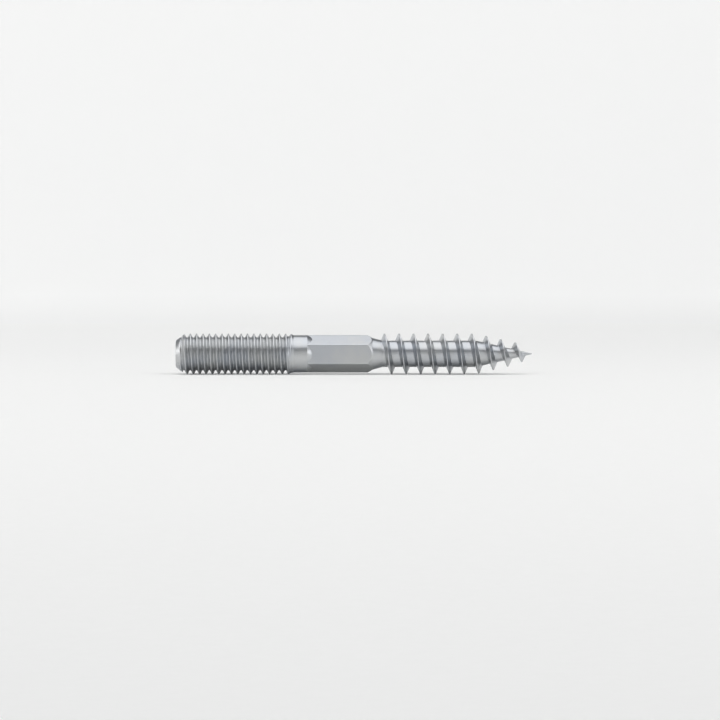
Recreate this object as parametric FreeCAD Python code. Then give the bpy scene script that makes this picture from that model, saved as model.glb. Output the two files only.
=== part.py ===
import FreeCAD, Part
import math
import os
from FreeCAD import Vector

os.makedirs("parts", exist_ok=True)

# Hanger bolt, M8 x 70, all lengths in millimetres
# The bolt lies along X. Its machine end face is at x = 0 and its wood point at the far end.
# Z is up. A corner of the hexagon points up, and one of its flats faces -Y.

# Machine end, plain at the major diameter of its fine thread
machine_d = 8.0
machine_length = 22.5
end_face_d = 5.32
end_chamfer_length = 1.72
runout_length = 0.70

# Plain shank
shank_d = 7.36
shank_length = 2.60

# Hexagon pressed from the round
hex_across_flats = 6.42
hex_length = 12.83
hex_shoulder_length = 1.00
hex_chamfer_length = 0.92

# Neck, core and point of the wood end
neck_d = 6.30
neck_length = 2.01
core_d = 5.20
core_length = 18.41
point_length = 10.95
tip_d = 0.16

# Wood thread, right-hand and single-start
wood_major_d = 8.0
wood_pitch = 2.86
flank_angle = 25.0
first_crest_after_neck = 0.36
last_crest_before_tip = 2.35
fade_turns = 0.5

# Six-lobe socket in the machine end
socket_outer_d = 4.50
socket_inner_d = 3.27
socket_lobe_r = 0.38
socket_depth = 3.90
socket_cone_length = 1.70
socket_mouth_d = 4.60

# The thread is drawn through this many points a turn
points_per_turn = 24

AXIS = Vector(1, 0, 0)
ORIGIN = Vector(0, 0, 0)

# Stations along the axis
shank_start = machine_length + runout_length
hex_start = shank_start + shank_length
neck_start = hex_start + hex_length
core_start = neck_start + neck_length
point_start = core_start + core_length
tip = point_start + point_length

# Turns of the thread are counted from its first full crest, which is at the top
first_crest = core_start + first_crest_after_neck
point_turn = (point_start - first_crest) / wood_pitch
last_turn = (tip - last_crest_before_tip - first_crest) / wood_pitch


def turned(*outline):
    """A solid turned about the axis, from points given as x and diameter."""
    points = [Vector(outline[0][0], 0, 0)]
    points += [Vector(x, 0, d / 2) for x, d in outline]
    points += [Vector(outline[-1][0], 0, 0), points[0]]
    return Part.Face(Part.makePolygon(points)).revolve(ORIGIN, AXIS, 360)


def blank():
    """The turned form, with the hexagon still round."""
    return turned(
        (0, end_face_d),
        (end_chamfer_length, machine_d),
        (machine_length, machine_d),
        (shank_start, shank_d),
        (neck_start - hex_chamfer_length, shank_d),
        (neck_start, neck_d),
        (core_start, core_d),
        (point_start, core_d),
        (tip, tip_d),
    )


def hex_bar(start, length):
    """A hexagonal bar along the axis, with a corner at the top."""
    corner_r = hex_across_flats / 2 / math.cos(math.radians(30))
    corners = []
    for i in range(7):
        angle = math.radians(60 * i)
        corners.append(Vector(start, corner_r * math.sin(angle), corner_r * math.cos(angle)))
    return Part.Face(Part.makePolygon(corners)).extrude(AXIS * length)


def outside_flats():
    """What the press moves away: a ring round the hexagon, less the hexagon and its conical shoulder."""
    lead = 0.5
    start = hex_start - lead
    length = lead + hex_length + neck_length / 2
    rise = lead * (shank_d - hex_across_flats) / hex_shoulder_length
    ring = Part.makeCylinder(machine_d, length, Vector(start, 0, 0), AXIS)
    shoulder = turned(
        (start, shank_d + rise),
        (hex_start + hex_shoulder_length + lead, hex_across_flats - rise),
    )
    return ring.cut(hex_bar(start - lead, length + 2 * lead)).cut(shoulder)


def core_radius(x):
    """Radius of the neck, the straight core or the point at x."""
    if x < core_start:
        return (core_d + (neck_d - core_d) * (core_start - x) / neck_length) / 2
    if x < point_start:
        return core_d / 2
    return (tip_d + (core_d - tip_d) * (tip - x) / point_length) / 2


def ridge_height(turn):
    """Full between the first and last crests. Past them it sinks smoothly until it is under the core."""
    past = max(-turn, turn - last_turn, 0) / fade_turns
    left = max(1 - past, 0)
    full = (wood_major_d - core_d) / 2
    sunk = 0.05
    return (full + sunk) * left * left * (3 - 2 * left) - sunk


def ridge_section(turn):
    """The ridge where a half plane from the axis cuts it, as x and radius: a V rooted in the core."""
    x = first_crest + wood_pitch * turn
    core_r = core_radius(x)
    crest_r = core_r + ridge_height(turn)
    root_r = core_r / 2
    half_width = (crest_r - root_r) * math.tan(math.radians(flank_angle))
    return (x, crest_r), (x + half_width, root_r), (x - half_width, root_r)


def on_helix(turn, x, r):
    """The point at x and radius r, a number of right-hand turns from the top."""
    angle = 2 * math.pi * turn
    return Vector(x, -r * math.sin(angle), r * math.cos(angle))


def rails(section, start, stop):
    """One spline edge for each corner of the section, from one turn to another."""
    steps = max(2, math.ceil((stop - start) * points_per_turn))
    turns = [start + (stop - start) * i / steps for i in range(steps + 1)]
    edges = []
    for corner in zip(*[section(turn) for turn in turns]):
        points = [on_helix(turn, x, r) for turn, (x, r) in zip(turns, corner)]
        curve = Part.BSplineCurve()
        curve.interpolate(Points=points, Parameters=turns)
        edges.append(curve.toShape())
    return edges


def helical_solid(section, marks):
    """Ruled faces between neighbouring rails, with a flat section to close each end."""
    faces = []
    for start, stop in zip(marks, marks[1:]):
        edges = rails(section, start, stop)
        for edge, neighbour in zip(edges, edges[1:] + edges[:1]):
            faces.append(Part.makeRuledSurface(edge, neighbour, 1))
    for turn in (marks[0], marks[-1]):
        corners = [on_helix(turn, x, r) for x, r in section(turn)]
        faces.append(Part.Face(Part.makePolygon(corners + corners[:1])))
    skin = Part.makeCompound(faces)
    skin.sewShape()
    solid = Part.makeSolid(skin.Shells[0])
    if solid.Volume < 0:
        solid.reverse()
    return solid


def wood_thread():
    """The coarse ridge, in lengths of about a turn, with a seam wherever its form changes."""
    marks = [-fade_turns, 0, point_turn, last_turn, last_turn + fade_turns]
    for turn in range(1, math.ceil(last_turn)):
        if min(abs(turn - mark) for mark in marks) > 0.2:
            marks.append(turn)
    return helical_solid(ridge_section, sorted(marks))


def around(x, radius, degrees):
    """The point at x and a radius, turned from the top."""
    angle = math.radians(degrees)
    return Vector(x, radius * math.sin(angle), radius * math.cos(angle))


def six_lobes(x):
    """The socket's outline at x: round lobes and round flutes, each meeting the next without a corner."""
    lobe_c = socket_outer_d / 2 - socket_lobe_r
    waist = socket_inner_d / 2
    cross = math.sqrt(3) * lobe_c
    over = socket_lobe_r ** 2 - lobe_c ** 2 - waist ** 2 + cross * waist
    flute_r = over / (2 * waist - cross - 2 * socket_lobe_r)
    share = socket_lobe_r / (socket_lobe_r + flute_r)
    arcs = []
    for top in range(0, 360, 60):
        lobe = around(x, lobe_c, top)
        next_lobe = around(x, lobe_c, top + 60)
        flute_before = around(x, waist + flute_r, top - 30)
        flute = around(x, waist + flute_r, top + 30)
        start = lobe + (flute_before - lobe) * share
        middle = lobe + (flute - lobe) * share
        stop = next_lobe + (flute - next_lobe) * share
        arcs.append(Part.Arc(start, around(x, socket_outer_d / 2, top), middle).toShape())
        arcs.append(Part.Arc(middle, around(x, waist, top + 30), stop).toShape())
    return Part.Wire(arcs)


def socket():
    """The driver socket: six lobes sunk from the end face, a conical floor and a countersunk mouth."""
    lead = 1.0
    bottom = socket_depth + socket_cone_length
    lobes = Part.Face(six_lobes(-lead)).extrude(AXIS * (bottom + 2 * lead))
    slope = socket_cone_length / socket_outer_d
    floor = turned(
        (-lead, socket_outer_d + lead),
        (socket_depth - slope * lead, socket_outer_d + lead),
        (bottom, 0),
    )
    mouth = turned((-lead, socket_mouth_d + 2 * lead), (socket_mouth_d / 2, 0))
    return lobes.common(floor).fuse(mouth)


bolt = blank().cut(outside_flats())
bolt = bolt.fuse(wood_thread())
bolt = bolt.cut(socket())
bolt.Solids[0].exportStep("parts/hanger_bolt.step")
print("solids", len(bolt.Solids), "valid", bolt.isValid(), "volume", round(bolt.Volume, 1), "mm3")
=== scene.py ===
# %% [markdown]
# A hanger bolt joins wood to metal: one half is a wood screw, the other half a machine thread for a nut.
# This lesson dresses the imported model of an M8 by 70 mm bolt. The solid already has the true blank,
# hexagon, socket and wood thread. Here one closed skin takes its place, with the fine machine thread,
# softened edges and a zinc-plated finish. The solid is loaded first, and gives the frame and the size.

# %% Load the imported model
import math

import bmesh
import bpy
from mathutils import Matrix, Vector


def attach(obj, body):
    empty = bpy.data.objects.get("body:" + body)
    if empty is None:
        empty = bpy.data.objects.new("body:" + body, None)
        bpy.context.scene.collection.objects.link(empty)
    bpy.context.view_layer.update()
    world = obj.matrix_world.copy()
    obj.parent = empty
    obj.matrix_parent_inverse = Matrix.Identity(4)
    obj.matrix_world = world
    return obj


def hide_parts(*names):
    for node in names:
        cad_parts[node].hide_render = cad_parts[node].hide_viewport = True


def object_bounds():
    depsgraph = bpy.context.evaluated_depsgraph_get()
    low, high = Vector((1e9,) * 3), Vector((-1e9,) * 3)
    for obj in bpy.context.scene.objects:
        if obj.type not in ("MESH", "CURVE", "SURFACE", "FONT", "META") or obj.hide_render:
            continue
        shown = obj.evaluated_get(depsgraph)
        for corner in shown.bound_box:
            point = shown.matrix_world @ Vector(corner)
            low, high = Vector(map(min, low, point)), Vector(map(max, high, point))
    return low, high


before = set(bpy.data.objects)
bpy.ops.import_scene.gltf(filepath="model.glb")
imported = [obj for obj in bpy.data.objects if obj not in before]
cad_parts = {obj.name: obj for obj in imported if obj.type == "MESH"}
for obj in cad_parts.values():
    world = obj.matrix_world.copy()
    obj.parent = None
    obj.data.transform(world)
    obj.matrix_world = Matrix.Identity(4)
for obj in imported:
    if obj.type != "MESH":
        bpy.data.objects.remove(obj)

solid_low, solid_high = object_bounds()
print("bolt's box in mm", [round(1000 * c, 2) for c in (*solid_low, *solid_high)])

# %% [markdown]
# Lengths here are in millimetres, as on a workshop drawing, and the finished skin is scaled to metres
# once. The overall length and diameter come from the frame. The stations along the bolt follow from
# the length of each part, from the machine end face at x = 0 to the wood point.

# %% Sizes of the bolt
MM = 0.001
bolt_length = round(solid_high.x / MM, 2)
major_r = round(solid_high.z / MM, 2)

end_face_r = 2.66
end_chamfer_length = 1.72
machine_length = 22.5
runout_length = 0.70
shank_r = 3.68
shank_length = 2.60
hex_length = 12.83
neck_r = 3.15
neck_length = 2.01
core_r = 2.60
point_length = 10.95
tip_r = 0.08

shank_start = machine_length + runout_length
hex_start = shank_start + shank_length
neck_start = hex_start + hex_length
core_start = neck_start + neck_length
point_start = bolt_length - point_length
print("stations", [round(x, 2) for x in (shank_start, hex_start, neck_start, core_start, point_start)])

# %% [markdown]
# Every part of the skin is a grid with the same columns round the axis, so that the parts meet vertex
# to vertex and can be welded into one closed mesh. The columns are counted from the top, the way a
# right-hand thread turns as it advances. Their number is a multiple of twelve, which puts columns on
# the corners and flats of the hexagon and on the lobes and flutes of the socket.

# %% Columns round the axis
COLUMNS = 144


def around(x, radius, angle):
    """The point at x and a radius, turned from the top as a right-hand thread turns."""
    return Vector((x, -radius * math.sin(angle), radius * math.cos(angle)))


def smooth_step(t):
    """Rises from 0 to 1 without a corner at either end."""
    t = min(max(t, 0.0), 1.0)
    return t * t * (3 - 2 * t)


def outline(bm, places):
    """A line of vertices along the axis, drawn by extruding one vertex. Each keeps its number."""
    number = bm.verts.layers.int.new("number")
    vertex = bm.verts.new((places[0], 0, 1))
    vertex[number] = 0
    for i, x in enumerate(places[1:], start=1):
        vertex = bmesh.ops.extrude_vert_indiv(bm, verts=[vertex])["verts"][0]
        vertex.co = (x, 0, 1)
        vertex[number] = i
    return number


print("columns", COLUMNS, "one every", 360 / COLUMNS, "degrees")

# %% [markdown]
# A thread is a profile that turns and advances together. The Spin operator does just that when it is
# given a step along the axis: one turn carries the profile forward by one pitch, where it meets its
# own copy a pitch further on. The profile starts a pitch before the part and ends a pitch after it.
# Whatever lies past an end, or within END_SNAP of it, is then gathered onto the ring there, and the
# weld removes it.

# %% A skin whose rows follow a helix
END_SNAP = 0.05


def thread_skin(offsets, pitch, first_crest, start, end, radius_at):
    """A sleeve from start to end. radius_at(x, offset, turn) shapes it, and offset is from the crest."""
    before = math.ceil((first_crest - start) / pitch) + 1
    after = math.ceil((end - first_crest) / pitch) + 1
    rows = [(crest, offset) for crest in range(-before, after + 1) for offset in offsets]
    places = [first_crest + crest * pitch + offset for crest, offset in rows]
    bm = bmesh.new()
    number = outline(bm, places)
    bmesh.ops.spin(
        bm, geom=bm.verts[:] + bm.edges[:], cent=(0, 0, 0), axis=(1, 0, 0),
        dvec=(pitch / COLUMNS, 0, 0), angle=2 * math.pi, steps=COLUMNS, use_merge=False,
    )
    for vertex in bm.verts:
        crest, offset = rows[vertex[number]]
        column = round((vertex.co.x - places[vertex[number]]) / pitch * COLUMNS)
        turn = crest + column / COLUMNS
        x = first_crest + turn * pitch + offset
        if x < start + END_SNAP:
            x = start
        elif x > end - END_SNAP:
            x = end
        vertex.co = around(x, radius_at(x, offset, turn), 2 * math.pi * column / COLUMNS)
    return bm


# %% [markdown]
# The rest of the bolt is turned or pressed, so it is a plain full spin. Each row is a small function
# that gives a place for every angle. A row can then be a true circle, a hexagon, a lobed ring, or the
# curved line where a flat runs out into a cone.

# %% A skin whose rows are rings
def ring_skin(rows):
    """A sleeve with one ring for each row. A row gives x, radius and angle for an angle."""
    bm = bmesh.new()
    number = outline(bm, list(range(len(rows))))
    bmesh.ops.spin(
        bm, geom=bm.verts[:] + bm.edges[:], cent=(0, 0, 0), axis=(1, 0, 0),
        angle=2 * math.pi, steps=COLUMNS, use_merge=True,
    )
    for vertex in bm.verts:
        column = round(math.atan2(-vertex.co.y, vertex.co.z) / (2 * math.pi) * COLUMNS)
        vertex.co = around(*rows[vertex[number]](2 * math.pi * column / COLUMNS))
    return bm


def circle(x, radius):
    """A row that is a plain circle."""
    return lambda angle: (x, radius, angle)


# %% [markdown]
# The machine thread is rolled, with a pitch of 1.25 mm, narrow crests and round roots. Its flanks
# stand at 30 degrees. The rows of the profile sit where it bends: two at each edge of the crest, one
# halfway down each flank, and seven round the root. The end chamfer is a clean cone at first, and then
# the grooves cut into it. Towards the shank the thread's roots rise and its crests sink until both
# reach the plain round.

# %% Profile of the machine thread
machine_pitch = 1.25
machine_first_crest = 0.30
machine_flank = math.radians(30)
machine_root_fillet = 0.144 * machine_pitch
machine_root_r = major_r - 0.6134 * machine_pitch
crest_half = machine_pitch / 16
crest_rounding = 0.02
rounded_share = 1 / 6
flank_end = machine_pitch / 2 - machine_root_fillet * math.cos(machine_flank)
flank_end_r = machine_root_r + machine_root_fillet * (1 - math.sin(machine_flank))


def machine_profile(offset):
    """Radius of the full thread at an offset from its crest."""
    s = abs(offset)
    if s <= crest_half:
        return major_r
    if s <= flank_end:
        fall = (s - crest_half) / (flank_end - crest_half)
        rounding = crest_rounding * min(fall / rounded_share, 1)
        return major_r - rounding - (major_r - crest_rounding - flank_end_r) * fall
    across = (machine_pitch / 2 - s) / machine_root_fillet
    return machine_root_r + machine_root_fillet * (1 - math.sqrt(1 - across * across))


machine_side = [crest_half, 0.12, 0.28, flank_end, 0.528, 0.577]
machine_offsets = [-s for s in reversed(machine_side)] + machine_side + [machine_pitch / 2]
print("thread depth", round(major_r - machine_root_r, 3), "mm, rows in a pitch", len(machine_offsets))

# %% Machine thread, from the chamfer to the run-out
fade_length = 0.9
fade_start = machine_length - fade_length
cone_end = 0.6


def cone_radius(x):
    """Radius of the chamfer's cone. It is clean up to cone_end, and beyond that the grooves cut it."""
    return end_face_r + (major_r - end_face_r) * x / end_chamfer_length


def machine_radius(x, offset, turn):
    """The thread between the chamfer's cone and the run-out."""
    left = 1 - smooth_step((x - fade_start) / (shank_start - fade_start))
    depth = (major_r - machine_profile(offset)) * left
    past = max(x - machine_length, 0) / runout_length
    crest = major_r - (major_r - shank_r) * past
    return min(crest - depth, cone_radius(x))


machine_skin = thread_skin(
    machine_offsets, machine_pitch, machine_first_crest, cone_end, shank_start, machine_radius
)
print("machine thread", len(machine_skin.faces), "faces before the weld")

# %% [markdown]
# The hexagon is pressed into the round shank, so its corners lie on the shank's own round and are
# slightly rounded. At the shank each flat dies into a shallow conical shoulder, and at the neck a
# chamfer cuts the corners, which gives the curved ends that a workshop drawing shows. A row follows
# each of those curves, with a supporting row close on either side that keeps the edge tight. The
# columns are drawn together at the corners, and let go again along the plain shank. SIXTH and TWELFTH
# are parts of a full turn.

# %% Outline of the hexagon
hex_across_flats = 6.42
hex_shoulder_length = 1.00
hex_chamfer_length = 0.92
SIXTH = math.pi / 3
TWELFTH = math.pi / 6
SECTOR = COLUMNS // 6
flat_r = hex_across_flats / 2
corner_reach = flat_r / math.cos(TWELFTH)
corner_fillet = (corner_reach - shank_r) / (1 / math.cos(TWELFTH) - 1)
fillet_centre = shank_r - corner_fillet


def fillet_angle(turned):
    """Angle at the axis of a point that lies so far round on the corner's fillet."""
    return math.atan2(corner_fillet * math.sin(turned), fillet_centre + corner_fillet * math.cos(turned))


fillet_edge = fillet_angle(TWELFTH)
half_sector = SECTOR // 2
column_steps = [0, fillet_angle(TWELFTH / 2), fillet_edge]
for i in range(3, half_sector + 1):
    column_steps.append(fillet_edge + (TWELFTH - fillet_edge) * (i - 2) / (half_sector - 2))


def gathered(angle, share):
    """An angle moved towards the nearest corner, by a share of the way."""
    column = round(angle / (2 * math.pi) * COLUMNS)
    corner = round(column / SECTOR)
    steps = column - corner * SECTOR
    moved = corner * SIXTH + math.copysign(column_steps[abs(steps)], steps)
    return angle + (moved - angle) * share


def hex_radius(angle):
    """Radius of the hexagon's side at an angle, with its corners rounded."""
    from_corner = abs((angle + TWELFTH) % SIXTH - TWELFTH)
    if from_corner < fillet_edge:
        reach = (fillet_centre * math.sin(from_corner)) ** 2
        return fillet_centre * math.cos(from_corner) + math.sqrt(corner_fillet ** 2 - reach)
    return flat_r / math.cos(TWELFTH - from_corner)


print("corner fillet", round(corner_fillet, 3), "mm, reach over corners", round(2 * shank_r, 2), "mm")

# %% Shank, hexagon and chamfer
shoulder_slope = (shank_r - flat_r) / hex_shoulder_length
chamfer_start = neck_start - hex_chamfer_length
chamfer_slope = (shank_r - neck_r) / hex_chamfer_length
support = 0.08


def shank_row(x, share):
    """A circle on the plain shank, with its columns partly gathered."""
    return lambda angle: (x, shank_r, gathered(angle, share))


def shoulder_row(part):
    """Part of the way along the conical shoulder, from the shank to the flats."""
    def place(angle):
        turned = gathered(angle, 1)
        x = hex_start + part * (shank_r - hex_radius(turned)) / shoulder_slope
        return x, shank_r - shoulder_slope * (x - hex_start), turned
    return place


def flat_row(part, shift):
    """Part of the way along the flats, and then a shift in mm."""
    def place(angle):
        turned = gathered(angle, 1)
        radius = hex_radius(turned)
        start = hex_start + (shank_r - radius) / shoulder_slope
        stop = chamfer_start + (shank_r - radius) / chamfer_slope
        return start + (stop - start) * part + shift, radius, turned
    return place


def chamfer_row(part):
    """Part of the way along the chamfer, from the flats to the neck."""
    def place(angle):
        turned = gathered(angle, 1 - part)
        start = chamfer_start + (shank_r - hex_radius(gathered(angle, 1))) / chamfer_slope
        x = start + (neck_start - start) * part
        return x, shank_r - chamfer_slope * (x - chamfer_start), turned
    return place


middle_rows = [circle(shank_start, shank_r), shank_row(shank_start + support, 0.1)]
middle_rows += [shank_row(shank_start + shank_length * part, part) for part in (0.3, 0.6, 0.85)]
middle_rows += [shank_row(hex_start - support, 1), shank_row(hex_start, 1)]
middle_rows += [shoulder_row(part) for part in (0.15, 0.5, 0.85, 1)]
middle_rows += [flat_row(0, support)]
middle_rows += [flat_row(part / 10, 0) for part in range(1, 10)]
middle_rows += [flat_row(1, -support)]
middle_rows += [chamfer_row(part) for part in (0, 0.15, 0.5, 0.85, 1)]
middle_skin = ring_skin(middle_rows)
print("shank and hexagon", len(middle_skin.faces), "faces in", len(middle_rows), "rows")

# %% [markdown]
# The wood thread is a steep, narrow ridge, 1.4 mm high, that winds along a straight core and on down
# the point. It grows out of the neck over half a turn and dies away near the tip. The radius is the
# higher of two surfaces, the core and the ridge, and a small fillet blends them where they cross. The
# rows crowd together there, and the crest has a narrow land. A tiny disc closes the tip.

# %% Core and ridge of the wood thread
wood_pitch = 2.86
first_crest_after_neck = 0.36
last_crest_before_tip = 2.35
flank_angle = 25.0
fade_turns = 0.5
wood_crest_half = 0.07
root_fillet = 0.12
full_fillet_height = 0.3
sunk = 0.05
ridge_height = major_r - core_r
ridge_half = ridge_height * math.tan(math.radians(flank_angle))
ridge_steepness = ridge_height / (ridge_half - wood_crest_half)
wood_first_crest = core_start + first_crest_after_neck
last_turn = (bolt_length - last_crest_before_tip - wood_first_crest) / wood_pitch


def core_radius(x):
    """Radius of the neck, the straight core or the point at x."""
    if x < core_start:
        return core_r + (neck_r - core_r) * (core_start - x) / neck_length
    if x < point_start:
        return core_r
    return tip_r + (core_r - tip_r) * (bolt_length - x) / point_length


def wood_radius(x, offset, turn):
    """The core, or the ridge where that stands higher, with a fillet between them."""
    past = max(-turn, turn - last_turn, 0) / fade_turns
    if past >= 1:
        return core_radius(x)
    height = (ridge_height + sunk) * smooth_step(1 - past) - sunk
    peak = core_radius(wood_first_crest + turn * wood_pitch) + height
    flank = peak - max(abs(offset) - wood_crest_half, 0) * ridge_steepness
    above = flank - core_radius(x)
    fillet = root_fillet * min(max(height, 0) / full_fillet_height, 1)
    if above <= -fillet:
        return core_radius(x)
    if above < fillet:
        return core_radius(x) + (above + fillet) ** 2 / (4 * fillet)
    return core_radius(x) + above


wood_side = [wood_crest_half, 0.12, 0.25, 0.40, 0.53, 0.60, 0.65, 0.70, 0.78, 0.92, 1.15]
wood_offsets = [-s for s in reversed(wood_side)] + wood_side + [wood_pitch / 2]
print("turns of the ridge", round(last_turn, 2), "rows in a pitch", len(wood_offsets))

# %% Wood thread, from the neck to the point
wood_skin = thread_skin(
    wood_offsets, wood_pitch, wood_first_crest, neck_start, bolt_length, wood_radius
)
tip_skin = ring_skin([circle(bolt_length, tip_r), circle(bolt_length, 0)])
print("wood thread", len(wood_skin.faces), "faces before the weld")

# %% [markdown]
# The driver socket is a six-lobe recess, punched while the bolt is cold. Its outline has round lobes
# and wider round flutes that meet without a corner. A countersink opens its mouth, and the punch
# leaves a conical floor. The rows are the lobed outline itself, so the sharp edges at the mouth and
# at the floor follow it exactly. The rings outside it are the end face and the clean part of the
# chamfer, with a small fillet at each edge.

# %% Outline of the six lobes
socket_outer_r = 2.25
socket_inner_r = 1.635
socket_lobe_r = 0.38
socket_depth = 3.90
socket_cone_length = 1.70
socket_mouth_r = 2.30

lobe_centre = socket_outer_r - socket_lobe_r
cross = math.sqrt(3) * lobe_centre
over = socket_lobe_r ** 2 - lobe_centre ** 2 - socket_inner_r ** 2 + cross * socket_inner_r
flute_r = over / (2 * socket_inner_r - cross - 2 * socket_lobe_r)
flute_centre = socket_inner_r + flute_r
lobe = Vector((lobe_centre, 0))
flute = Vector((flute_centre * math.cos(TWELFTH), flute_centre * math.sin(TWELFTH)))
meeting = lobe.lerp(flute, socket_lobe_r / (socket_lobe_r + flute_r))
lobe_half = math.atan2(meeting.y, meeting.x)


def socket_radius(angle):
    """Radius of the socket's wall at an angle, with a lobe at the top."""
    from_lobe = abs((angle + TWELFTH) % SIXTH - TWELFTH)
    if from_lobe < lobe_half:
        reach = (lobe_centre * math.sin(from_lobe)) ** 2
        return lobe_centre * math.cos(from_lobe) + math.sqrt(socket_lobe_r ** 2 - reach)
    from_flute = TWELFTH - from_lobe
    reach = (flute_centre * math.sin(from_flute)) ** 2
    return flute_centre * math.cos(from_flute) - math.sqrt(flute_r ** 2 - reach)


print("flute radius", round(flute_r, 3), "mm, lobe and flute meet at", round(math.degrees(lobe_half), 1))

# %% Rows of the socket
floor_slope = socket_cone_length / socket_outer_r
socket_end = socket_depth + socket_cone_length
wall_support = 0.06


def countersink_row(part):
    """Part of the way down the countersink, from the mouth to the lobes."""
    def place(angle):
        radius = socket_mouth_r + (socket_radius(angle) - socket_mouth_r) * part
        return socket_mouth_r - radius, radius, angle
    return place


def wall_row(part, shift):
    """Part of the way down the wall, and then a shift in mm."""
    def place(angle):
        radius = socket_radius(angle)
        start = socket_mouth_r - radius
        stop = socket_end - radius * floor_slope
        return start + (stop - start) * part + shift, radius, angle
    return place


def floor_row(share):
    """A smaller copy of the lobes on the conical floor."""
    def place(angle):
        radius = socket_radius(angle) * share
        return socket_end - radius * floor_slope, radius, angle
    return place


socket_rows = [countersink_row(part) for part in (0.5, 0.85)]
socket_rows += [wall_row(0, 0), wall_row(0, wall_support)]
socket_rows += [wall_row(0.33, 0), wall_row(0.67, 0), wall_row(1, -wall_support)]
socket_rows += [floor_row(share) for share in (1, 0.97, 0.7, 0.4, 0.15, 0)]
print("rows in the socket", len(socket_rows))

# %% End face and socket
edge_fillet = 0.07


def filleted(x, radius, turn_in, turn_out):
    """Rows round an edge of the bolt's end, from one direction of its outline to another, in degrees."""
    reach = edge_fillet * math.tan(math.radians(turn_out - turn_in) / 2)
    enter = math.radians(turn_in)
    start_x = x - reach * math.cos(enter)
    start_r = radius - reach * math.sin(enter)
    rows = []
    for part in (0, 0.5, 1):
        angle = math.radians(turn_in + (turn_out - turn_in) * part)
        across = edge_fillet * (math.sin(angle) - math.sin(enter))
        down = edge_fillet * (math.cos(enter) - math.cos(angle))
        rows.append(circle(start_x + across, start_r + down))
    return rows


cone_rise = math.degrees(math.atan2(major_r - end_face_r, end_chamfer_length))
cone_places = [part * cone_end for part in (1, 0.75, 0.5, 0.25)]
face_rows = [circle(x, cone_radius(x)) for x in cone_places]
face_rows += filleted(0, end_face_r, 180 + cone_rise, 270)
face_rows += filleted(0, socket_mouth_r, 270, 315)
socket_rows = face_rows + socket_rows
socket_skin = ring_skin(socket_rows)
print("socket", len(socket_skin.faces), "faces in", len(socket_rows), "rows")

# %% [markdown]
# The five skins share their end rings, so putting them in one mesh and merging by distance closes the
# bolt. The same weld removes what was gathered onto the rings. Then the normals are turned outwards,
# and edges that bend by more than a small fillet would are marked sharp. How much the surface bends at
# each vertex is kept as an attribute, which later tells the metal where it is rubbed, and where its
# grooves get painted shade and more roughness.

# %% Weld the skins into one bolt
WELD = 0.0008
SHARP = math.radians(32)


def joined(parts):
    """One bmesh from several, which are freed."""
    bm = bmesh.new()
    for part in parts:
        mesh = bpy.data.meshes.new("part")
        part.to_mesh(mesh)
        part.free()
        bm.from_mesh(mesh)
        bpy.data.meshes.remove(mesh)
    return bm


bolt_bm = joined([socket_skin, machine_skin, middle_skin, wood_skin, tip_skin])
bmesh.ops.remove_doubles(bolt_bm, verts=bolt_bm.verts, dist=WELD)
bmesh.ops.recalc_face_normals(bolt_bm, faces=bolt_bm.faces)
for face in bolt_bm.faces:
    face.smooth = True
for edge in bolt_bm.edges:
    if len(edge.link_faces) == 2:
        edge.smooth = edge.calc_face_angle() < SHARP
open_edges = [edge for edge in bolt_bm.edges if len(edge.link_faces) != 2]
triangles = sum(len(face.verts) - 2 for face in bolt_bm.faces)
volume = bolt_bm.calc_volume(signed=True)
print("open edges", len(open_edges), "triangles", triangles, "volume", round(volume, 1), "mm3")

# %% How the surface bends at each vertex
def write_bend(bm):
    """Keeps a number in each vertex: 0.5 where it is flat, more on crests and edges, less in grooves."""
    bm.normal_update()
    bm.verts.index_update()
    bends = []
    for vertex in bm.verts:
        lean = Vector()
        for edge in vertex.link_edges:
            lean += (edge.other_vert(vertex).co - vertex.co).normalized()
        lean /= len(vertex.link_edges)
        bends.append(math.acos(min(max(vertex.normal.dot(lean), -1.0), 1.0)) / math.pi)
    layer = bm.verts.layers.float.new("bend")
    for vertex in bm.verts:
        near = [bends[edge.other_vert(vertex).index] for edge in vertex.link_edges]
        vertex[layer] = (bends[vertex.index] + sum(near)) / (1 + len(near))
    return bends


bends = write_bend(bolt_bm)
print("bend is from", round(min(bends), 2), "to", round(max(bends), 2))

# %% The bolt as an object
bmesh.ops.scale(bolt_bm, vec=(MM, MM, MM), verts=bolt_bm.verts)
bolt_mesh = bpy.data.meshes.new("bolt_skin")
bolt_bm.to_mesh(bolt_mesh)
bolt_bm.free()
bolt = bpy.data.objects.new("bolt_skin", bolt_mesh)
bpy.context.scene.collection.objects.link(bolt)
print("bolt is", [round(1000 * c, 2) for c in bolt.dimensions], "mm")

# %% [markdown]
# Bright zinc plating is a thin bluish-white metal. On a bolt from a bulk bath it is satin rather than
# mirror-like, a little uneven in tint, brighter where parts have rubbed in the barrel, and duller in
# the grooves, where the colour also carries painted shade. The drawn wire leaves fine lines along the
# shank and hexagon, while rolling and turning leave lines round the threads. Each effect is a small node
# group that puts out one mask or height.

# %% Helpers for node trees
def add_node(tree, kind, **settings):
    """A node with its settings. A value for a socket is given by the socket's name in sockets."""
    sockets = settings.pop("sockets", {})
    node = tree.nodes.new(kind)
    for name, value in settings.items():
        setattr(node, name, value)
    for name, value in sockets.items():
        node.inputs[name].default_value = value
    return node


def new_group(name, inputs, outputs):
    """A shader node group that puts out floats, with its input and output nodes."""
    tree = bpy.data.node_groups.new(name, "ShaderNodeTree")
    for socket, kind, value in inputs:
        made = tree.interface.new_socket(socket, in_out="INPUT", socket_type=kind)
        if value is not None:
            made.default_value = value
    for socket in outputs:
        tree.interface.new_socket(socket, in_out="OUTPUT", socket_type="NodeSocketFloat")
    return tree, tree.nodes.new("NodeGroupInput"), tree.nodes.new("NodeGroupOutput")


def placed(tree, group):
    """A node group placed in a material."""
    node = tree.nodes.new("ShaderNodeGroup")
    node.node_tree = group
    return node


print("helpers ready")

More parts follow.
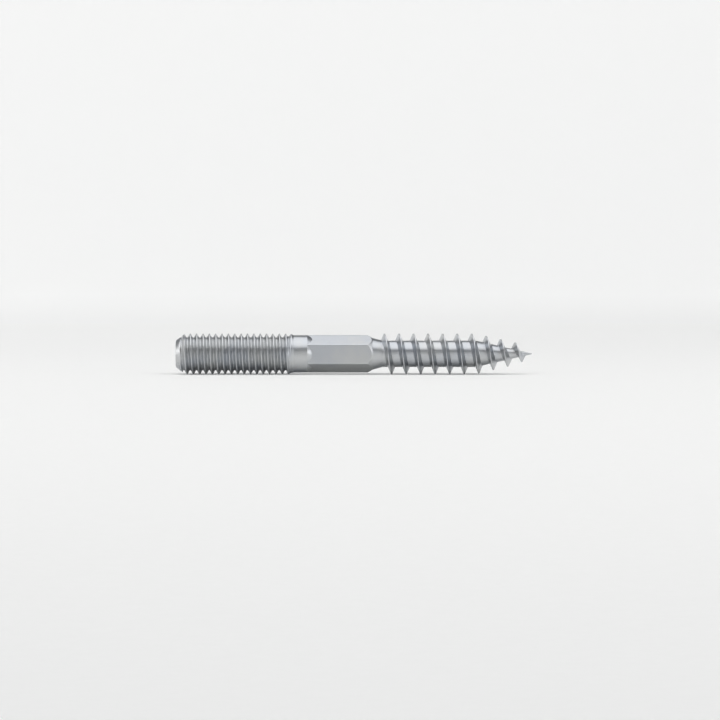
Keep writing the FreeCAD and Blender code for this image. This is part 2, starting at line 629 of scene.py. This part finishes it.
# %% Node group for directional lines
def make_line_group():
    """Fine lines: noise drawn out along one direction by the scale of its coordinates."""
    tree, given, out = new_group(
        "Fine lines",
        [("Vector", "NodeSocketVector", None), ("Stretch", "NodeSocketVector", (1.0, 1.0, 1.0)),
         ("Sharpness", "NodeSocketFloat", 0.5)],
        ["Height"],
    )
    scaled = add_node(tree, "ShaderNodeVectorMath", operation="MULTIPLY")
    noise = add_node(tree, "ShaderNodeTexNoise", noise_dimensions="3D",
                     sockets={"Scale": 1.0, "Detail": 3.0})
    tree.links.new(given.outputs["Vector"], scaled.inputs[0])
    tree.links.new(given.outputs["Stretch"], scaled.inputs[1])
    tree.links.new(scaled.outputs["Vector"], noise.inputs["Vector"])
    tree.links.new(given.outputs["Sharpness"], noise.inputs["Roughness"])
    tree.links.new(noise.outputs["Fac"], out.inputs["Height"])
    return tree


fine_lines = make_line_group()
print("group", fine_lines.name)

# %% Node group for worn edges, and for grooves with painted shade
def make_wear_and_shade_group():
    """Two masks from the mesh's bend: rubbed crests and edges, in patches, and the depths of grooves,
    which get painted shade and more roughness.
    """
    tree, given, out = new_group(
        "Wear and groove shade",
        [("Vector", "NodeSocketVector", None), ("Patchiness", "NodeSocketFloat", 0.4),
         ("Scale", "NodeSocketFloat", 600.0)],
        ["Rubbed", "Groove shade and dullness"],
    )
    bend = add_node(tree, "ShaderNodeAttribute", attribute_name="bend")
    rubbed = add_node(tree, "ShaderNodeMapRange", interpolation_type="SMOOTHSTEP",
                      sockets={"From Min": 0.52, "From Max": 0.62})
    # The groove mask: painted shade in the colour, and rougher grooves.
    groove_shade = add_node(tree, "ShaderNodeMapRange", interpolation_type="SMOOTHSTEP",
                         sockets={"From Min": 0.49, "From Max": 0.40})
    noise = add_node(tree, "ShaderNodeTexNoise", sockets={"Detail": 4.0, "Roughness": 0.6})
    patches = add_node(tree, "ShaderNodeMapRange", interpolation_type="SMOOTHSTEP",
                       sockets={"From Min": 0.35, "From Max": 0.65})
    keep = add_node(tree, "ShaderNodeMath", operation="SUBTRACT")
    keep.inputs[0].default_value = 1.0
    broken = add_node(tree, "ShaderNodeMath", operation="MULTIPLY_ADD", use_clamp=True)
    mask = add_node(tree, "ShaderNodeMath", operation="MULTIPLY")
    links = tree.links
    links.new(bend.outputs["Fac"], rubbed.inputs["Value"])
    links.new(bend.outputs["Fac"], groove_shade.inputs["Value"])
    links.new(given.outputs["Vector"], noise.inputs["Vector"])
    links.new(given.outputs["Scale"], noise.inputs["Scale"])
    links.new(noise.outputs["Fac"], patches.inputs["Value"])
    links.new(given.outputs["Patchiness"], keep.inputs[1])
    links.new(patches.outputs["Result"], broken.inputs[0])
    links.new(given.outputs["Patchiness"], broken.inputs[1])
    links.new(keep.outputs["Value"], broken.inputs[2])
    links.new(rubbed.outputs["Result"], mask.inputs[0])
    links.new(broken.outputs["Value"], mask.inputs[1])
    links.new(mask.outputs["Value"], out.inputs["Rubbed"])
    links.new(groove_shade.outputs["Result"], out.inputs["Groove shade and dullness"])
    return tree


wear_and_shade_group = make_wear_and_shade_group()
print("group", wear_and_shade_group.name)

# %% [markdown]
# The metal itself is one material. A mask along the bolt tells the wire-drawn middle from the two
# threads, so that the lines run lengthwise on the shank and hexagon, and round the axis on the
# threads and the end face. For the second kind, the coordinates are the place along the axis and the
# distance from it.

# %% Lines along the wire and round the axis
ALONG_WIRE = (180.0, 9000.0, 9000.0)
ROUND_AXIS = (9000.0, 9000.0, 0.0)


def along(tree, coordinate, start, end):
    """A mask that rises smoothly between two places along the bolt, in mm."""
    ramp = add_node(tree, "ShaderNodeMapRange", interpolation_type="SMOOTHSTEP",
                    sockets={"From Min": start * MM, "From Max": end * MM})
    tree.links.new(coordinate, ramp.inputs["Value"])
    return ramp.outputs["Result"]


def metal_lines(tree, place):
    """The height of the fine lines, lengthwise on shank and hexagon, and round the axis elsewhere."""
    links = tree.links
    parts = add_node(tree, "ShaderNodeSeparateXYZ")
    links.new(place, parts.inputs["Vector"])
    across = add_node(tree, "ShaderNodeCombineXYZ")
    links.new(parts.outputs["Y"], across.inputs["Y"])
    links.new(parts.outputs["Z"], across.inputs["Z"])
    reach = add_node(tree, "ShaderNodeVectorMath", operation="LENGTH")
    links.new(across.outputs["Vector"], reach.inputs[0])
    round_axis = add_node(tree, "ShaderNodeCombineXYZ")
    links.new(parts.outputs["X"], round_axis.inputs["X"])
    links.new(reach.outputs["Value"], round_axis.inputs["Y"])

    lengthwise = placed(tree, fine_lines)
    lengthwise.inputs["Stretch"].default_value = ALONG_WIRE
    links.new(place, lengthwise.inputs["Vector"])
    turning = placed(tree, fine_lines)
    turning.inputs["Stretch"].default_value = ROUND_AXIS
    links.new(round_axis.outputs["Vector"], turning.inputs["Vector"])

    wire = add_node(tree, "ShaderNodeMath", operation="SUBTRACT")
    links.new(along(tree, parts.outputs["X"], shank_start - 0.3, shank_start + 0.1), wire.inputs[0])
    links.new(along(tree, parts.outputs["X"], neck_start - 0.2, neck_start + 0.6), wire.inputs[1])
    lines = add_node(tree, "ShaderNodeMix", data_type="FLOAT")
    links.new(wire.outputs["Value"], lines.inputs["Factor"])
    links.new(turning.outputs["Height"], lines.inputs["A"])
    links.new(lengthwise.outputs["Height"], lines.inputs["B"])
    return lines.outputs["Result"]


print("lines run lengthwise from", round(shank_start, 1), "to", round(neck_start, 1), "mm")

# %% [markdown]
# The tint drifts between two greys over a few millimetres. Rubbed edges are lighter, and the grooves
# are darkened with painted shade. The roughness follows the same clouds, and adds a little for the lines
# and more for the grooves. A very shallow bump carries the lines and the grain of the plating.

# %% Tint of the plating, with painted shade in the grooves
BLUISH_GREY = (0.48, 0.50, 0.53)
WARMER_GREY = (0.53, 0.54, 0.545)
RUBBED_GREY = (0.64, 0.65, 0.66)
# Painted shade: this grey darkens the grooves in the colour, standing in for the shade that falls there.
PAINTED_GROOVE_SHADE = (0.32, 0.33, 0.34)


def mix_colour(tree, factor, first, second):
    """A colour mix with a linked factor. Each colour is a value or an output."""
    mix = add_node(tree, "ShaderNodeMix", data_type="RGBA", blend_type="MIX")
    colour_inputs = [socket for socket in mix.inputs if socket.type == "RGBA"]
    tree.links.new(factor, mix.inputs[0])
    for socket, colour in zip(colour_inputs, (first, second)):
        if isinstance(colour, bpy.types.NodeSocket):
            tree.links.new(colour, socket)
        else:
            socket.default_value = (*colour, 1)
    return next(socket for socket in mix.outputs if socket.type == "RGBA")


def metal_colour(tree, clouds, wear_and_shade):
    """Base colour from the clouds, the mask of rubbed wear, and painted shade in the grooves."""
    tint = add_node(tree, "ShaderNodeMapRange", interpolation_type="SMOOTHSTEP",
                    sockets={"From Min": 0.35, "From Max": 0.65})
    tree.links.new(clouds, tint.inputs["Value"])
    colour = mix_colour(tree, tint.outputs["Result"], BLUISH_GREY, WARMER_GREY)
    colour = mix_colour(tree, wear_and_shade.outputs["Rubbed"], colour, RUBBED_GREY)
    # Painted shade darkens the grooves.
    return mix_colour(tree, wear_and_shade.outputs["Groove shade and dullness"], colour, PAINTED_GROOVE_SHADE)


print("greys from", PAINTED_GROOVE_SHADE[0], "to", RUBBED_GREY[0])

# %% Roughness and relief
PLAIN_ROUGHNESS = 0.19
CLOUD_ROUGHNESS = 0.14
LINE_ROUGHNESS = 0.12
GROOVE_ROUGHNESS = 0.16
GRAIN_SHARE = 0.35
BUMP_STRENGTH = 0.22
BUMP_DEPTH = 0.00002


def plus(tree, value, factor, base):
    """The value times a factor, plus a base that is a number or an output."""
    node = add_node(tree, "ShaderNodeMath", operation="MULTIPLY_ADD")
    tree.links.new(value, node.inputs[0])
    node.inputs[1].default_value = factor
    if isinstance(base, bpy.types.NodeSocket):
        tree.links.new(base, node.inputs[2])
    else:
        node.inputs[2].default_value = base
    return node.outputs["Value"]


def metal_roughness(tree, clouds, lines, wear_and_shade):
    """Roughness from the clouds, the lines and the grooves."""
    roughness = plus(tree, clouds, CLOUD_ROUGHNESS, PLAIN_ROUGHNESS)
    roughness = plus(tree, lines, LINE_ROUGHNESS, roughness)
    return plus(tree, wear_and_shade.outputs["Groove shade and dullness"], GROOVE_ROUGHNESS, roughness)


def metal_relief(tree, place, lines):
    """A shallow bump from the lines and the grain."""
    grain = add_node(tree, "ShaderNodeTexNoise",
                     sockets={"Scale": 5200.0, "Detail": 2.0, "Roughness": 0.5})
    tree.links.new(place, grain.inputs["Vector"])
    bump = add_node(tree, "ShaderNodeBump",
                    sockets={"Strength": BUMP_STRENGTH, "Distance": BUMP_DEPTH})
    tree.links.new(plus(tree, grain.outputs["Fac"], GRAIN_SHARE, lines), bump.inputs["Height"])
    return bump.outputs["Normal"]


print("roughness from", PLAIN_ROUGHNESS, "and relief", BUMP_DEPTH / MM, "mm deep")

# %% Bright zinc-plated steel
def make_zinc():
    """The bolt's only material."""
    material = bpy.data.materials.new("zinc_plated_steel")
    material.use_nodes = True
    tree = material.node_tree
    shader = tree.nodes["Principled BSDF"]
    shader.inputs["Metallic"].default_value = 1.0
    place = add_node(tree, "ShaderNodeTexCoord").outputs["Object"]
    clouds = add_node(tree, "ShaderNodeTexNoise",
                      sockets={"Scale": 170.0, "Detail": 4.0, "Roughness": 0.55})
    tree.links.new(place, clouds.inputs["Vector"])
    wear_and_shade = placed(tree, wear_and_shade_group)
    tree.links.new(place, wear_and_shade.inputs["Vector"])
    lines = metal_lines(tree, place)
    cloudy = clouds.outputs["Fac"]
    tree.links.new(metal_colour(tree, cloudy, wear_and_shade), shader.inputs["Base Color"])
    tree.links.new(metal_roughness(tree, cloudy, lines, wear_and_shade), shader.inputs["Roughness"])
    tree.links.new(metal_relief(tree, place, lines), shader.inputs["Normal"])
    return material


zinc = make_zinc()
bolt.data.materials.append(zinc)
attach(bolt, "root")
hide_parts("hanger_bolt")
print("finish", zinc.name, "with", len(zinc.node_tree.nodes), "nodes")

# %% [markdown]
# The bolt lies on a pale studio sweep: a round floor whose rim curves up all the way round, so that
# every view has the same plain background. It is one short outline, spun about the vertical, and its
# middle is closed with a small cap. Lengths of the stage are in metres.

# %% Studio sweep
floor_z = solid_low.z
flat_reach = 0.85
bend_r = 0.40
wall_height = 0.04
bend_steps = 24
sweep_columns = 96
cap_r = 0.0005


def make_sweep():
    """A bowl-shaped floor, centred under the bolt."""
    bm = bmesh.new()
    vertex = bm.verts.new((cap_r, 0, floor_z))
    places = [(flat_reach, floor_z)]
    for i in range(1, bend_steps + 1):
        angle = math.pi / 2 * i / bend_steps
        rise = bend_r * (1 - math.cos(angle))
        places.append((flat_reach + bend_r * math.sin(angle), floor_z + rise))
    places.append((flat_reach + bend_r, floor_z + bend_r + wall_height))
    for reach, height in places:
        vertex = bmesh.ops.extrude_vert_indiv(bm, verts=[vertex])["verts"][0]
        vertex.co = (reach, 0, height)
    bmesh.ops.spin(
        bm, geom=bm.verts[:] + bm.edges[:], cent=(0, 0, 0), axis=(0, 0, 1),
        angle=2 * math.pi, steps=sweep_columns, use_merge=True,
    )
    rim = [edge for edge in bm.edges if edge.is_boundary]
    inner_rim = [edge for edge in rim if edge.verts[0].co.xy.length < 2 * cap_r]
    cap = bmesh.ops.contextual_create(bm, geom=inner_rim)["faces"][0]
    bmesh.ops.recalc_face_normals(bm, faces=bm.faces)
    if cap.normal.z < 0:
        bmesh.ops.reverse_faces(bm, faces=bm.faces)
    for face in bm.faces:
        face.smooth = True
    mesh = bpy.data.meshes.new("studio_sweep")
    bm.to_mesh(mesh)
    bm.free()
    sweep = bpy.data.objects.new("studio_sweep", mesh)
    bpy.context.scene.collection.objects.link(sweep)
    sweep.location = (bolt_length / 2 * MM, 0, 0)
    return sweep


sweep = make_sweep()
print("sweep reaches", flat_reach + bend_r, "m from the bolt")

# %% [markdown]
# The paper glows faintly far from the bolt and behind it, where the panels light it less. That keeps
# the background near white, and leaves the floor under the bolt to its own light and shadow.

# %% Pale paper
PAPER_SHADE = (0.83, 0.83, 0.82)
PAPER_LIGHT = (0.86, 0.86, 0.85)
FIBRES = (900.0, 900.0, 900.0)


def make_paper():
    """Matt paper with a slight glow."""
    material = bpy.data.materials.new("pale_paper")
    material.use_nodes = True
    tree = material.node_tree
    shader = tree.nodes["Principled BSDF"]
    shader.inputs["Roughness"].default_value = 0.7
    shader.inputs["Specular IOR Level"].default_value = 0.2
    place = add_node(tree, "ShaderNodeTexCoord").outputs["Object"]
    fibres = placed(tree, fine_lines)
    fibres.inputs["Stretch"].default_value = FIBRES
    tree.links.new(place, fibres.inputs["Vector"])
    colour = mix_colour(tree, fibres.outputs["Height"], PAPER_SHADE, PAPER_LIGHT)
    tree.links.new(colour, shader.inputs["Base Color"])
    reach = add_node(tree, "ShaderNodeVectorMath", operation="LENGTH")
    tree.links.new(place, reach.inputs[0])
    parts = add_node(tree, "ShaderNodeSeparateXYZ")
    tree.links.new(place, parts.inputs["Vector"])
    outer = add_node(
        tree, "ShaderNodeMapRange", interpolation_type="SMOOTHSTEP",
        sockets={"From Min": 0.08, "From Max": 0.9, "To Min": 0.05, "To Max": 0.36},
    )
    behind = add_node(
        tree, "ShaderNodeMapRange", interpolation_type="SMOOTHSTEP",
        sockets={"From Min": -0.5, "From Max": 0.6, "To Min": 0.4},
    )
    glow = add_node(tree, "ShaderNodeMath", operation="MULTIPLY")
    tree.links.new(reach.outputs["Value"], outer.inputs["Value"])
    tree.links.new(parts.outputs["Y"], behind.inputs["Value"])
    tree.links.new(outer.outputs["Result"], glow.inputs[0])
    tree.links.new(behind.outputs["Result"], glow.inputs[1])
    shader.inputs["Emission Color"].default_value = (1.0, 1.0, 1.0, 1)
    tree.links.new(glow.outputs["Value"], shader.inputs["Emission Strength"])
    return material


paper = make_paper()
sweep.data.materials.append(paper)
print("paper", paper.name, "with", len(paper.node_tree.nodes), "nodes")

# %% [markdown]
# Metal shows little but its surroundings, so the lights are broad panels: a large one overhead and
# slightly in front, one beyond each end of the bolt for the flanks of the threads, and a small low one
# in front of the point. The camera doesn't see them, but the metal does. The sky is dim. The dark space
# between the panels and the glowing wall draws dark bands along the bolt's upper edge, and they part
# the metal from the pale background.

# %% Soft studio light
SKY = (0.95, 0.97, 1.0)
SKY_STRENGTH = 0.22
centre = Vector((bolt_length / 2 * MM, 0, 0))


def panel(name, place, size, power):
    """An area light aimed at the middle of the bolt, and hidden from the camera."""
    data = bpy.data.lights.new(name, "AREA")
    data.shape = "RECTANGLE"
    data.size, data.size_y = size
    data.energy = power
    light = bpy.data.objects.new(name, data)
    light.location = centre + Vector(place)
    light.rotation_euler = (-Vector(place)).to_track_quat("-Z", "Y").to_euler()
    light.visible_camera = False
    bpy.context.scene.collection.objects.link(light)


panel("overhead_panel", (-0.04, -0.06, 0.66), (1.36, 0.96), 5.4)
panel("left_panel", (-0.78, -0.30, 0.34), (0.58, 0.58), 1.8)
panel("right_panel", (0.80, -0.10, 0.30), (0.58, 0.58), 1.4)
panel("low_panel", (0.62, -0.46, 0.17), (0.30, 0.30), 0.4)

world = bpy.data.worlds.new("studio_air")
world.use_nodes = True
sky = world.node_tree.nodes["Background"]
sky.inputs["Color"].default_value = (*SKY, 1)
sky.inputs["Strength"].default_value = SKY_STRENGTH
bpy.context.scene.world = world
bpy.context.scene.view_settings.view_transform = "Standard"
print("four panels and a dim sky")

# %% [markdown]
# The drawing is a straight side view, with the bolt across the middle half of the frame. A long lens
# from far away keeps its parallel look, and the camera stands only two degrees above the level, so
# that the outline stays the drawn one while the floor still shows. One pixel of the square frame is
# 0.197 mm at the bolt.

# %% Camera
FRAME_PIXELS = 720
mm_per_pixel = 0.1968
axis_row = 353.8
left_end_column = 176.1
lens = 200.0
sensor = 36.0
rise = math.radians(2.0)

view_width = FRAME_PIXELS * mm_per_pixel * MM
distance = view_width * lens / sensor
aim = Vector((
    (FRAME_PIXELS / 2 - left_end_column) * mm_per_pixel * MM,
    0,
    -(FRAME_PIXELS / 2 - axis_row) * mm_per_pixel * MM,
))
camera_data = bpy.data.cameras.new("camera")
camera_data.lens = lens
camera_data.sensor_width = sensor
camera_data.clip_start = 0.01
camera_data.clip_end = 10.0
camera = bpy.data.objects.new("camera", camera_data)
back = Vector((0, -math.cos(rise), math.sin(rise)))
camera.location = aim + back * distance
camera.rotation_euler = (-back).to_track_quat("-Z", "Y").to_euler()
bpy.context.scene.collection.objects.link(camera)
bpy.context.scene.camera = camera
print("camera is", round(distance, 3), "m away")

# %% [markdown]
# The drawn bolt must not be larger or smaller than the imported one. Last, the scene is brought up to
# date.

# %% Finish
bpy.context.view_layer.update()
